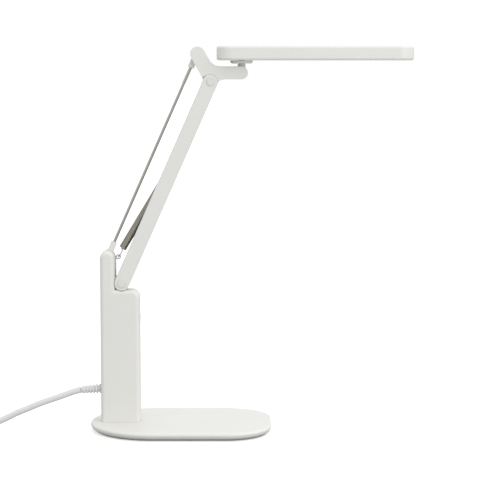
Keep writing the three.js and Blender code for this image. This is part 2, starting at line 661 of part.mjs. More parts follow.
const lamp = new THREE.Group();
addBase(lamp);
addPost(lamp);
addCord(lamp);
addArm(lamp);
addSpring(lamp);
addLink(lamp);
const upperPivot = addBracket(lamp);
addTilt(lamp, upperPivot.x + TILT.x, upperPivot.z + TILT.y);
addHead(lamp, upperPivot.x + TILT.x);

export default lamp;
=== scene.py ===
"""Visual model of the swing arm desk lamp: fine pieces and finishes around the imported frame."""
import json
import math

import bmesh
import bpy
from bpy.props import FloatProperty, FloatVectorProperty, IntProperty, PointerProperty
from bpy.types import Operator, Panel, PropertyGroup
from mathutils import Matrix, Vector


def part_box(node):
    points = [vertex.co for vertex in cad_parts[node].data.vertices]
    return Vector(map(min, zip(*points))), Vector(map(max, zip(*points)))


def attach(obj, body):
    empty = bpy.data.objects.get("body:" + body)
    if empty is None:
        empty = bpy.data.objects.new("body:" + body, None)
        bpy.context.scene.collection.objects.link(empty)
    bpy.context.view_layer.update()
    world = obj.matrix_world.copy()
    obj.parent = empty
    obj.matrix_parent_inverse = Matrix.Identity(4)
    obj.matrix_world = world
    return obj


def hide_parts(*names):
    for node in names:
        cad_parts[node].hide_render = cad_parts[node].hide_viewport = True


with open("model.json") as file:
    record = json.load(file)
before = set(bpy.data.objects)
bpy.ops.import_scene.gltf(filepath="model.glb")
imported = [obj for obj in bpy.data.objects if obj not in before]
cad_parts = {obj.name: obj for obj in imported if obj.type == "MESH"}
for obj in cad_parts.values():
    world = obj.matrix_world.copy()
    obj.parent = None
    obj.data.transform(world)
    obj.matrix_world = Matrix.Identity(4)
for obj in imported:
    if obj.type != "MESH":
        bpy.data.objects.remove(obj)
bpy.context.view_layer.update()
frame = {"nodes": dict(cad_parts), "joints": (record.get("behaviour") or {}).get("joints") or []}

bl_info = {
    "name": "Swing Arm Desk Lamp",
    "version": (1, 0, 0),
    "blender": (4, 5, 0),
    "location": "View3D > Sidebar > Desk Lamp",
    "description": "Builds the pieces and finishes of a spring balanced desk lamp",
    "category": "Add Mesh",
}

MM = 0.001
GAP = 0.3 * MM
JOINTS = {joint["name"]: joint for joint in frame["joints"]}


def axis_point(joint):
    """The place of a joint's axis at rest."""
    return Vector(JOINTS[joint]["pos_m"])


ARM_PIVOT = axis_point("arm_pivot")
LINK_PIVOT = axis_point("link_pivot")
BRACKET_PIVOT = axis_point("bracket_pivot")
SPRING_FOOT = axis_point("spring_pivot")
SPRING_PIN = axis_point("pull_wire_pivot")
TILT_AXIS = axis_point("head_tilt")
CORD_EXIT = 41.7 * MM
POST_MIDDLE = -0.13
ARM_VECTOR = BRACKET_PIVOT - ARM_PIVOT
ARM_LENGTH = ARM_VECTOR.length
ARM_LEAN = math.atan2(ARM_VECTOR.x, ARM_VECTOR.z)
LINK_OFFSET = LINK_PIVOT - ARM_PIVOT
SPRING_VECTOR = SPRING_PIN - SPRING_FOOT
SPRING_LEAN = math.atan2(SPRING_VECTOR.x, SPRING_VECTOR.z)
# The arm's lean at its two limits, in degrees from upright
ARM_SWEEP = [math.degrees(ARM_LEAN) + limit for limit in JOINTS["arm_pivot"]["range_deg"]]

# Route of the free cord, in metres, from the strain relief to the coil
CORD_ROUTE = [
    (-0.171, 0, 0.0399), (-0.177, 0, 0.0383), (-0.1832, 0, 0.0362), (-0.189, 0, 0.0341),
    (-0.195, 0, 0.03195), (-0.201, 0, 0.0299), (-0.2065, 0, 0.028), (-0.2125, 0, 0.0258),
    (-0.2185, 0, 0.02335), (-0.224, 0, 0.021), (-0.2297, 0, 0.0187), (-0.236, 0, 0.0161),
    (-0.242, 0, 0.0131), (-0.248, 0, 0.0102), (-0.2535, 0, 0.0078), (-0.259, 0, 0.0059),
    (-0.2645, 0, 0.0046), (-0.271, 0, 0.00365), (-0.2765, 0, 0.00325), (-0.2817, 0, 0.0032),
]
# From the coil to the plug
TAIL_ROUTE = [
    (-0.346, 0.0643, 0.0126), (-0.346, 0.068, 0.0109), (-0.346, 0.072, 0.0091),
    (-0.346, 0.077, 0.0075), (-0.346, 0.0816, 0.007),
]
TAIL_START = (-0.346, 0.0575, 0.0152)
COIL_CENTRE = Vector((-0.305, 0.041, 0))
COIL_RADII = [41 * MM, 34.6 * MM, 28.2 * MM]


def colour_setting(name, description, colour):
    return FloatVectorProperty(
        name=name, description=description, subtype="COLOR", size=3, min=0, max=1, default=colour,
    )


def size_setting(name, description, size, least, most):
    """A length, its sizes in millimetres."""
    return FloatProperty(
        name=name, description=description, unit="LENGTH", min=least * MM, max=most * MM, default=size * MM,
    )


class DeskLampSettings(PropertyGroup):
    """Sizes and colours that a user would change."""

    plastic_white: colour_setting("Plastic White", "Colour of the moulded casings", (0.70, 0.697, 0.668))
    cord_white: colour_setting("Cord White", "Colour of the cord and its fittings", (0.66, 0.663, 0.68))
    steel_grey: colour_setting("Steel Grey", "Colour of the polished rod and pins", (0.46, 0.445, 0.41))
    spring_grey: colour_setting("Spring Grey", "Colour of the oiled spring wire", (0.42, 0.40, 0.35))
    floor_white: colour_setting("Floor White", "Colour of the floor under the lamp", (0.70, 0.70, 0.70))
    post_round: size_setting("Post Rounding", "Radius along the edges of the post", 4.2, 0.5, 5)
    head_round: size_setting("Head Rounding", "Radius along the edges of the head", 2.5, 0.5, 4)
    cord_diameter: size_setting("Cord Diameter", "Thickness of the round mains cord", 6.4, 3, 8)
    spring_wire: size_setting("Spring Wire", "Thickness of the balance spring's wire", 1.0, 0.6, 1.4)
    relief_ribs: IntProperty(
        name="Relief Ribs", description="Ribs on the strain relief", min=3, max=9, default=6,
    )


def settings():
    return bpy.context.scene.desk_lamp


# Outlines: lists of (across, up) points, anticlockwise
def arc(centre, radius, start, end, count):
    """Points along an arc, angles in degrees."""
    points = []
    for i in range(count + 1):
        angle = math.radians(start + (end - start) * i / count)
        points.append((centre[0] + radius * math.cos(angle), centre[1] + radius * math.sin(angle)))
    return points


def bend(start, control, end, count):
    """Points along a quadratic curve."""
    points = []
    for i in range(count + 1):
        t = i / count
        points.append(tuple(
            (1 - t) ** 2 * a + 2 * t * (1 - t) * b + t * t * c for a, b, c in zip(start, control, end)
        ))
    return points


def bar_outline(half_width, length, count=24):
    """A bar with round ends from the origin up to length."""
    return arc((0, length), half_width, 0, 180, count) + arc((0, 0), half_width, 180, 360, count)


def plan_outline(left, right, half, left_radius, right_radius, count=24):
    """A rectangle with round corners, in plan."""
    points = arc((right - right_radius, -half + right_radius), right_radius, -90, 0, count)
    points += arc((right - right_radius, half - right_radius), right_radius, 0, 90, count)
    points += arc((left + left_radius, half - left_radius), left_radius, 90, 180, count)
    points += arc((left + left_radius, -half + left_radius), left_radius, 180, 270, count)
    return points


def swept_outline(half_width, length, lean_back, lean_front):
    """The space that a bar sweeps as it turns about the origin, angles in degrees from upright."""
    def along(lean, reach):
        return (reach * math.sin(math.radians(lean)), reach * math.cos(math.radians(lean)))

    def beside(lean, side):
        angle = math.radians(lean)
        return (side * half_width * math.cos(angle), -side * half_width * math.sin(angle))

    back = along(lean_back, length)
    front = along(lean_front, length)
    far = along((lean_back + lean_front) / 2, 1.3 * length)
    left = beside(lean_back, -1)
    right = beside(lean_front, 1)
    points = arc((0, 0), half_width, -180 - lean_back, -lean_front, 32)
    points.append((front[0] + right[0], front[1] + right[1]))
    points.append(far)
    points.append((back[0] + left[0], back[1] + left[1]))
    return points


# Solids
def prism(points, low, high, along="Y"):
    """An outline given a thickness along Y, or along Z where it is a plan."""
    bm = bmesh.new()
    if along == "Y":
        verts = [bm.verts.new((x, low, z)) for x, z in points]
        step = Vector((0, high - low, 0))
    else:
        verts = [bm.verts.new((x, y, low)) for x, y in points]
        step = Vector((0, 0, high - low))
    bmesh.ops.remove_doubles(bm, verts=verts, dist=1e-7)
    face = bm.faces.new([v for v in verts if v.is_valid])
    made = bmesh.ops.extrude_face_region(bm, geom=[face])
    moved = [item for item in made["geom"] if isinstance(item, bmesh.types.BMVert)]
    bmesh.ops.translate(bm, verts=moved, vec=step)
    bmesh.ops.recalc_face_normals(bm, faces=bm.faces)
    return bm


def block(low, high):
    """A plain box between two corners."""
    bm = bmesh.new()
    centre = (Vector(low) + Vector(high)) / 2
    size = Vector(high) - Vector(low)
    matrix = Matrix.Translation(centre) @ Matrix.Diagonal((*size, 1))
    bmesh.ops.create_cube(bm, size=1, matrix=matrix)
    return bm


def pin(radius, start, end, sides=48):
    """A round pin from one point to another."""
    start, end = Vector(start), Vector(end)
    bm = bmesh.new()
    turn = (end - start).to_track_quat("Z", "Y").to_matrix().to_4x4()
    matrix = Matrix.Translation((start + end) / 2) @ turn
    bmesh.ops.create_cone(
        bm, cap_ends=True, segments=sides, radius1=radius, radius2=radius,
        depth=(end - start).length, matrix=matrix,
    )
    return bm


def turned(profile, steps=64):
    """A profile of (radius, height) spun about Z; it is closed, or starts and ends on the axis."""
    bm = bmesh.new()
    verts = [bm.verts.new((r, 0, z)) for r, z in profile]
    edges = [bm.edges.new(pair) for pair in zip(verts, verts[1:])]
    if min(r for r, _ in profile) > 0:
        edges.append(bm.edges.new((verts[-1], verts[0])))
    bmesh.ops.spin(
        bm, geom=verts + edges, cent=(0, 0, 0), axis=(0, 0, 1), angle=2 * math.pi,
        steps=steps, use_merge=True,
    )
    bmesh.ops.remove_doubles(bm, verts=bm.verts, dist=1e-6)
    bmesh.ops.recalc_face_normals(bm, faces=bm.faces)
    return bm


def place(bm, turn=(0, 0, 0), move=(0, 0, 0)):
    """Turns a mesh about the origin by Euler angles in radians, then moves it."""
    matrix = Matrix.Translation(move)
    for axis, angle in zip("XYZ", turn):
        matrix = matrix @ Matrix.Rotation(angle, 4, axis)
    bmesh.ops.transform(bm, matrix=matrix, verts=bm.verts)
    return bm


def as_mesh(name, bm):
    """The finished mesh data of a bmesh, which is freed."""
    mesh = bpy.data.meshes.new(name)
    bm.to_mesh(mesh)
    bm.free()
    return mesh


def in_scene(name, data):
    obj = bpy.data.objects.new(name, data)
    bpy.context.scene.collection.objects.link(obj)
    return obj


def joined(*parts):
    """Several meshes in one, each left whole."""
    whole = bmesh.new()
    for part in parts:
        mesh = as_mesh("part", part)
        whole.from_mesh(mesh)
        bpy.data.meshes.remove(mesh)
    return whole


def spare_object(bm):
    return in_scene("spare", as_mesh("spare", bm))


def evaluated(obj):
    """The object's mesh with its modifiers applied, as a bmesh; the object is removed."""
    depsgraph = bpy.context.evaluated_depsgraph_get()
    mesh = bpy.data.meshes.new_from_object(obj.evaluated_get(depsgraph))
    bm = bmesh.new()
    bm.from_mesh(mesh)
    bpy.data.objects.remove(obj)
    bpy.data.meshes.remove(mesh)
    return bm


def combine(bm, tools, operation):
    target = spare_object(bm)
    spares = [spare_object(tool) for tool in tools]
    for spare in spares:
        modifier = target.modifiers.new("combine", "BOOLEAN")
        modifier.operation = operation
        modifier.solver = "EXACT"
        modifier.object = spare
    result = evaluated(target)
    for spare in spares:
        bpy.data.objects.remove(spare)
    bmesh.ops.remove_doubles(result, verts=result.verts, dist=2e-6)
    bmesh.ops.dissolve_degenerate(result, edges=result.edges, dist=1e-6)
    return result


def carved(bm, *tools):
    """The mesh with closed tools cut out of it."""
    return combine(bm, tools, "DIFFERENCE")


def merged(bm, *tools):
    """The mesh with closed tools joined to it as one body."""
    return combine(bm, tools, "UNION")


def kept_inside(bm, region):
    """The part of the mesh that lies inside a closed region."""
    return combine(bm, [region], "INTERSECT")


def bevel(bm, edges, width, segments):
    bmesh.ops.bevel(
        bm, geom=edges, offset=width, offset_type="OFFSET", segments=segments, profile=0.5,
        affect="EDGES", clamp_overlap=True, material=-1,
    )
    return bm


def round_rims(bm, axis, heights, width, segments):
    """Rounds the edges that lie in the planes at those heights on the axis (1 for Y, 2 for Z)."""
    for height in heights:
        rims = [
            edge for edge in bm.edges
            if all(abs(v.co[axis] - height) < 1e-6 for v in edge.verts)
        ]
        bevel(bm, rims, width, segments)
    return bm


def soften(bm, width, segments=2, over=40):
    """Breaks the sharp edges, those that turn by more than that many degrees."""
    sharp = [
        edge for edge in bm.edges
        if len(edge.link_faces) == 2 and edge.calc_face_angle(0) > math.radians(over)
    ]
    return bevel(bm, sharp, width, segments)


def tube_along(points, radius, sides=12):
    """A closed round tube along a smooth line through points."""
    curve = line_curve("spare_line", points, radius, sides)
    bm = evaluated(in_scene("spare_line", curve))
    bpy.data.curves.remove(curve)
    bmesh.ops.remove_doubles(bm, verts=bm.verts, dist=1e-6)
    bmesh.ops.recalc_face_normals(bm, faces=bm.faces)
    return bm


def line_curve(name, points, radius, sides):
    curve = bpy.data.curves.new(name, "CURVE")
    curve.dimensions = "3D"
    curve.bevel_depth = radius
    curve.bevel_resolution = max(sides // 4 - 1, 0)
    curve.use_fill_caps = True
    spline = curve.splines.new("POLY")
    spline.points.add(len(points) - 1)
    for target, point in zip(spline.points, points):
        target.co = (*point, 1)
    return curve


def smooth_line(points, per_span):
    """A Catmull-Rom line through points."""
    knots = [Vector(p) for p in points]
    knots = [2 * knots[0] - knots[1]] + knots + [2 * knots[-1] - knots[-2]]
    line = []
    for i in range(1, len(knots) - 2):
        a, b, c, d = knots[i - 1:i + 3]
        for step in range(per_span):
            t = step / per_span
            line.append(0.5 * (
                2 * b + (c - a) * t + (2 * a - 5 * b + 4 * c - d) * t * t
                + (3 * b - a - 3 * c + d) * t ** 3
            ))
    line.append(knots[-2])
    return line


# Materials
def new_material(name):
    material = bpy.data.materials.new(name)
    material.use_nodes = True
    nodes = material.node_tree.nodes
    return material, nodes, material.node_tree.links, nodes["Principled BSDF"]


def noise(nodes, links, scale, detail=2, stretch=(1, 1, 1)):
    """Noise on the object's own coordinates."""
    coordinates = nodes.new("ShaderNodeTexCoord")
    mapping = nodes.new("ShaderNodeMapping")
    mapping.inputs["Scale"].default_value = stretch
    texture = nodes.new("ShaderNodeTexNoise")
    texture.inputs["Scale"].default_value = scale
    texture.inputs["Detail"].default_value = detail
    links.new(coordinates.outputs["Object"], mapping.inputs["Vector"])
    links.new(mapping.outputs["Vector"], texture.inputs["Vector"])
    return texture.outputs["Fac"]


def spread(nodes, links, value, low, high):
    """Maps a noise value to a range."""
    remap = nodes.new("ShaderNodeMapRange")
    remap.inputs["From Min"].default_value = 0.3
    remap.inputs["From Max"].default_value = 0.7
    remap.inputs["To Min"].default_value = low
    remap.inputs["To Max"].default_value = high
    links.new(value, remap.inputs["Value"])
    return remap.outputs["Result"]


def tinted(nodes, links, value, colour, amount):
    """A colour that varies a little with a value."""
    mix = nodes.new("ShaderNodeMix")
    mix.data_type = "RGBA"
    mix.inputs["A"].default_value = (*[c * (1 - amount) for c in colour], 1)
    mix.inputs["B"].default_value = (*[min(c * (1 + amount), 1) for c in colour], 1)
    links.new(value, mix.inputs["Factor"])
    return mix.outputs["Result"]


def add_bump(nodes, links, shader, height, depth):
    bump = nodes.new("ShaderNodeBump")
    bump.inputs["Distance"].default_value = depth
    bump.inputs["Strength"].default_value = 1
    links.new(height, bump.inputs["Height"])
    links.new(bump.outputs["Normal"], shader.inputs["Normal"])


def moulded_plastic(name, colour, roughness, grain=2600, depth=0.000012, sheen=0.0):
    """Moulded plastic with a fine spark eroded grain and faint flow tints."""
    material, nodes, links, shader = new_material(name)
    flow = spread(nodes, links, noise(nodes, links, 14, 3), 0, 1)
    links.new(tinted(nodes, links, flow, colour, 0.012), shader.inputs["Base Color"])
    patches = noise(nodes, links, 55, 4)
    links.new(spread(nodes, links, patches, roughness - 0.05, roughness + 0.05), shader.inputs["Roughness"])
    add_bump(nodes, links, shader, noise(nodes, links, grain, 2), depth)
    shader.inputs["IOR"].default_value = 1.49
    shader.inputs["Sheen Weight"].default_value = sheen
    return material


def drawn_metal(name, colour, roughness, stretch=(1, 1, 0.03), scale=4000, depth=0.000004):
    """Metal with fine lines left by drawing or turning."""
    material, nodes, links, shader = new_material(name)
    lines = noise(nodes, links, scale, 2, stretch)
    stains = noise(nodes, links, 90, 4)
    links.new(tinted(nodes, links, stains, colour, 0.10), shader.inputs["Base Color"])
    links.new(spread(nodes, links, lines, roughness - 0.06, roughness + 0.08), shader.inputs["Roughness"])
    add_bump(nodes, links, shader, lines, depth)
    shader.inputs["Metallic"].default_value = 1
    return material


def cast_metal(name, colour):
    """Grainy die cast metal."""
    material, nodes, links, shader = new_material(name)
    grain = noise(nodes, links, 1500, 4)
    links.new(tinted(nodes, links, grain, colour, 0.06), shader.inputs["Base Color"])
    links.new(spread(nodes, links, noise(nodes, links, 200, 3), 0.42, 0.6), shader.inputs["Roughness"])
    add_bump(nodes, links, shader, grain, 0.00003)
    shader.inputs["Metallic"].default_value = 1
    return material


def dark_rubber(name, colour):
    """Matt rubber with a dusty surface."""
    material, nodes, links, shader = new_material(name)
    dust = noise(nodes, links, 700, 5)
    links.new(tinted(nodes, links, dust, colour, 0.25), shader.inputs["Base Color"])
    links.new(spread(nodes, links, dust, 0.75, 0.92), shader.inputs["Roughness"])
    add_bump(nodes, links, shader, dust, 0.00003)
    return material


def opal_diffuser(name, colour):
    """Opal light guide cover with a fine grid of lens dots."""
    material, nodes, links, shader = new_material(name)
    coordinates = nodes.new("ShaderNodeTexCoord")
    dots = nodes.new("ShaderNodeTexVoronoi")
    dots.inputs["Scale"].default_value = 900
    dots.inputs["Randomness"].default_value = 0
    links.new(coordinates.outputs["Object"], dots.inputs["Vector"])
    links.new(tinted(nodes, links, noise(nodes, links, 30, 3), colour, 0.01), shader.inputs["Base Color"])
    links.new(spread(nodes, links, noise(nodes, links, 80, 2), 0.3, 0.4), shader.inputs["Roughness"])
    add_bump(nodes, links, shader, dots.outputs["Distance"], 0.00005)
    shader.inputs["Subsurface Weight"].default_value = 0.25
    shader.inputs["Subsurface Scale"].default_value = 0.003
    return material


def circuit_board(name, colour, track_colour):
    """Solder mask with faint tracks under it."""
    material, nodes, links, shader = new_material(name)
    coordinates = nodes.new("ShaderNodeTexCoord")
    tracks = nodes.new("ShaderNodeTexBrick")
    tracks.inputs["Scale"].default_value = 260
    tracks.inputs["Color1"].default_value = (*colour, 1)
    tracks.inputs["Color2"].default_value = (*[0.9 * c for c in colour], 1)
    tracks.inputs["Mortar"].default_value = (*track_colour, 1)
    tracks.inputs["Mortar Size"].default_value = 0.012
    links.new(coordinates.outputs["Object"], tracks.inputs["Vector"])
    links.new(tracks.outputs["Color"], shader.inputs["Base Color"])
    shader.inputs["Roughness"].default_value = 0.35
    return material


def finish(name):
    """The material of that name, made the first time it is asked for."""
    if name in bpy.data.materials:
        return bpy.data.materials[name]
    props = settings()
    pin_grey = [0.85 * c for c in props.steel_grey]
    makers = {
        "satin_white": lambda: moulded_plastic(name, props.plastic_white, 0.42),
        "cap_white": lambda: moulded_plastic(name, [0.97 * c for c in props.plastic_white], 0.35),
        "cord_pvc": lambda: moulded_plastic(name, props.cord_white, 0.5, 900, 0.00003, 0.1),
        "polished_rod": lambda: drawn_metal(name, props.steel_grey, 0.16),
        "zinc_plate": lambda: drawn_metal(name, (0.72, 0.72, 0.71), 0.34, (1, 0.05, 1), 2500),
        "turned_steel": lambda: drawn_metal(name, pin_grey, 0.3, (0.05, 1, 0.05)),
        "spring_wire": lambda: drawn_metal(name, props.spring_grey, 0.42, (1, 1, 1), 1800),
        "zinc_casting": lambda: cast_metal(name, (0.55, 0.55, 0.56)),
        "foot_rubber": lambda: dark_rubber(name, (0.035, 0.035, 0.036)),
        "opal_cover": lambda: opal_diffuser(name, (0.88, 0.88, 0.85)),
        "white_board": lambda: circuit_board(name, (0.85, 0.85, 0.83), (0.72, 0.72, 0.7)),
        "green_board": lambda: circuit_board(name, (0.05, 0.2, 0.09), (0.1, 0.35, 0.15)),
    }
    return makers[name]()


# Pieces
def add_piece(name, bm, body, look, stands_for=(), smooth_under=38):
    """Puts a finished mesh in the scene on its body."""
    mesh = as_mesh(name, bm)
    mesh.shade_smooth()
    mesh.set_sharp_from_angle(angle=math.radians(smooth_under))
    mesh.materials.append(finish(look))
    obj = in_scene(name, mesh)
    even = obj.modifiers.new("even_shading", "WEIGHTED_NORMAL")
    even.keep_sharp = True
    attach(obj, body)
    if stands_for:
        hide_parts(*stands_for)
    return obj


def add_casing(name, bm, body, node):
    """Puts a white moulded casing in the scene in place of its CAD node."""
    add_piece(name, bm, body, "satin_white", [node])


def middle_of(node):
    low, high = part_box(node)
    return (low + high) / 2


def paint(look, *nodes):
    """Gives CAD nodes that stay as they are their material."""
    for name in nodes:
        slots = frame["nodes"][name].data.materials
        slots.clear()
        slots.append(finish(look))


def on_arm(bm):
    """Takes a mesh from the arm's own frame to its place at rest."""
    return place(bm, (0, ARM_LEAN, 0), ARM_PIVOT)


def screw_head(radius, height, recess):
    """A pan head with a cross recess, its top at z = 0."""
    profile = [(0, -height), (radius, -height), (radius, -0.45 * height)]
    profile += [(0.9 * radius, -0.15 * height), (0.7 * radius, 0), (0, 0)]
    head = turned(profile, 32)
    arm, wide = 0.55 * radius, 0.11 * radius
    return carved(
        head,
        block((-arm, -wide, -recess), (arm, wide, recess)),
        block((-wide, -arm, -recess), (wide, arm, recess)),
    )


def add_screw(name, node, radius, head, shank_start, shank_end):
    """Joins a screw's placed head to its shank."""
    shank = pin(radius, shank_start, shank_end, 20)
    add_piece(name, merged(head, shank), "base", "turned_steel", [node])


class DESKLAMP_OT_stage(Operator):
    """Adds the camera, the floor and the soft studio light"""

    bl_idname = "desk_lamp.stage"
    bl_label = "Stage"

    def execute(self, context):
        self.add_camera(context)
        self.add_floor()
        self.add_lights(context)
        context.scene.view_settings.view_transform = "Standard"
        return {"FINISHED"}

    def add_camera(self, context):
        distance, height, side = 1.790, 0.3786, -0.0055
        look_down = math.radians(6.12)
        data = bpy.data.cameras.new("lamp_camera")
        data.lens = 132.245
        data.sensor_width = 36
        data.clip_end = 60
        camera = in_scene("lamp_camera", data)
        camera.location = (side, -distance, height)
        camera.rotation_euler = (math.pi / 2 - look_down, 0, 0)
        context.scene.camera = camera

    def add_floor(self):
        bm = bmesh.new()
        bmesh.ops.create_grid(bm, x_segments=8, y_segments=8, size=20)
        mesh = as_mesh("floor", bm)
        floor = in_scene("floor", mesh)
        material, nodes, links, shader = new_material("floor_paper")
        tint = noise(nodes, links, 3, 3)
        links.new(tinted(nodes, links, tint, settings().floor_white, 0.004), shader.inputs["Base Color"])
        shader.inputs["Roughness"].default_value = 0.9
        shader.inputs["Specular IOR Level"].default_value = 0.1
        shader.inputs["Emission Color"].default_value = (1, 1, 1, 1)
        shader.inputs["Emission Strength"].default_value = 0.5
        bounce = nodes.new("ShaderNodeBsdfDiffuse")
        bounce.inputs["Color"].default_value = (0.5, 0.5, 0.5, 1)
        ray = nodes.new("ShaderNodeLightPath")
        choice = nodes.new("ShaderNodeMixShader")
        links.new(ray.outputs["Is Camera Ray"], choice.inputs["Fac"])
        links.new(bounce.outputs["BSDF"], choice.inputs[1])
        links.new(shader.outputs["BSDF"], choice.inputs[2])
        links.new(choice.outputs["Shader"], nodes["Material Output"].inputs["Surface"])
        mesh.materials.append(material)

    def add_lights(self, context):
        world = bpy.data.worlds.new("soft_room")
        world.use_nodes = True
        context.scene.world = world
        nodes, links = world.node_tree.nodes, world.node_tree.links
        room = nodes["Background"]
        backdrop = nodes.new("ShaderNodeBackground")
        backdrop.inputs["Color"].default_value = (1, 1, 1, 1)
        direction = nodes.new("ShaderNodeTexCoord")
        split = nodes.new("ShaderNodeSeparateXYZ")
        ramp = nodes.new("ShaderNodeValToRGB")
        ramp.color_ramp.elements[0].position = 0.0
        ramp.color_ramp.elements[0].color = (0.76, 0.76, 0.76, 1)
        ramp.color_ramp.elements[1].position = 0.7
        ramp.color_ramp.elements[1].color = (1, 1, 1, 1)
        links.new(direction.outputs["Generated"], split.inputs["Vector"])
        links.new(split.outputs["Z"], ramp.inputs["Fac"])
        links.new(ramp.outputs["Color"], room.inputs["Color"])
        room.inputs["Strength"].default_value = 1.1
        ray = nodes.new("ShaderNodeLightPath")
        choice = nodes.new("ShaderNodeMixShader")
        links.new(ray.outputs["Is Camera Ray"], choice.inputs["Fac"])
        links.new(room.outputs["Background"], choice.inputs[1])
        links.new(backdrop.outputs["Background"], choice.inputs[2])
        links.new(choice.outputs["Shader"], nodes["World Output"].inputs["Surface"])
        glow = bpy.data.lights.new("ceiling_glow", "SUN")
        glow.energy = 0.4
        glow.angle = math.radians(70)
        lamp = in_scene("ceiling_glow", glow)
        lamp.rotation_euler = (math.radians(15), math.radians(35), 0)
        box = bpy.data.lights.new("side_softbox", "AREA")
        box.size = 1.2
        box.energy = 12
        side_light = in_scene("side_softbox", box)
        side_light.location = (1.2, -1.7, 0.75)
        towards_post = Vector((0, 0, 0.15)) - side_light.location
        side_light.rotation_euler = towards_post.to_track_quat("-Z", "Y").to_euler()


def coil_line():
    """The turns of the stored cord: three layers wound in and out, then half way round to the tail."""
    radius = settings().cord_diameter / 2
    outer, middle, inner = COIL_RADII
    columns = [outer, middle, inner, inner, middle, outer, outer]
    heights = [1, 1, 1, 3, 3, 3, 5]
    extra = 0.25
    steps = 48
    ease = 0.35
    line = []
    turns = len(columns) + extra
    for i in range(int(turns * steps) + 1):
        turn = i / steps
        index = min(int(turn), len(columns) - 1)
        share = min((turn - index) / ease, 1)
        share = share * share * (3 - 2 * share)
        before = max(index - 1, 0)
        reach = columns[before] + (columns[index] - columns[before]) * share
        level = heights[before] + (heights[index] - heights[before]) * share
        angle = -math.pi / 2 - 2 * math.pi * turn
        line.append(COIL_CENTRE + Vector((reach * math.cos(angle), reach * math.sin(angle), level * radius)))
    return line


class DESKLAMP_OT_cord(Operator):
    """Adds the mains cord with its stored coil"""

    bl_idname = "desk_lamp.cord"
    bl_label = "Cord"

    def execute(self, context):
        radius = settings().cord_diameter / 2
        line = smooth_line(CORD_ROUTE + [COIL_CENTRE + Vector((0.0105, -COIL_RADII[0] + 0.0001, radius))], 3)
        line += coil_line()
        line += smooth_line([TAIL_START] + TAIL_ROUTE, 4)
        curve = line_curve("mains_cord", line, radius, 16)
        cord = in_scene("mains_cord", curve)
        curve.materials.append(finish("cord_pvc"))
        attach(cord, "base")
        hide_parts("power_cord", "power_cord_coil", "power_cord_tail")
        return {"FINISHED"}


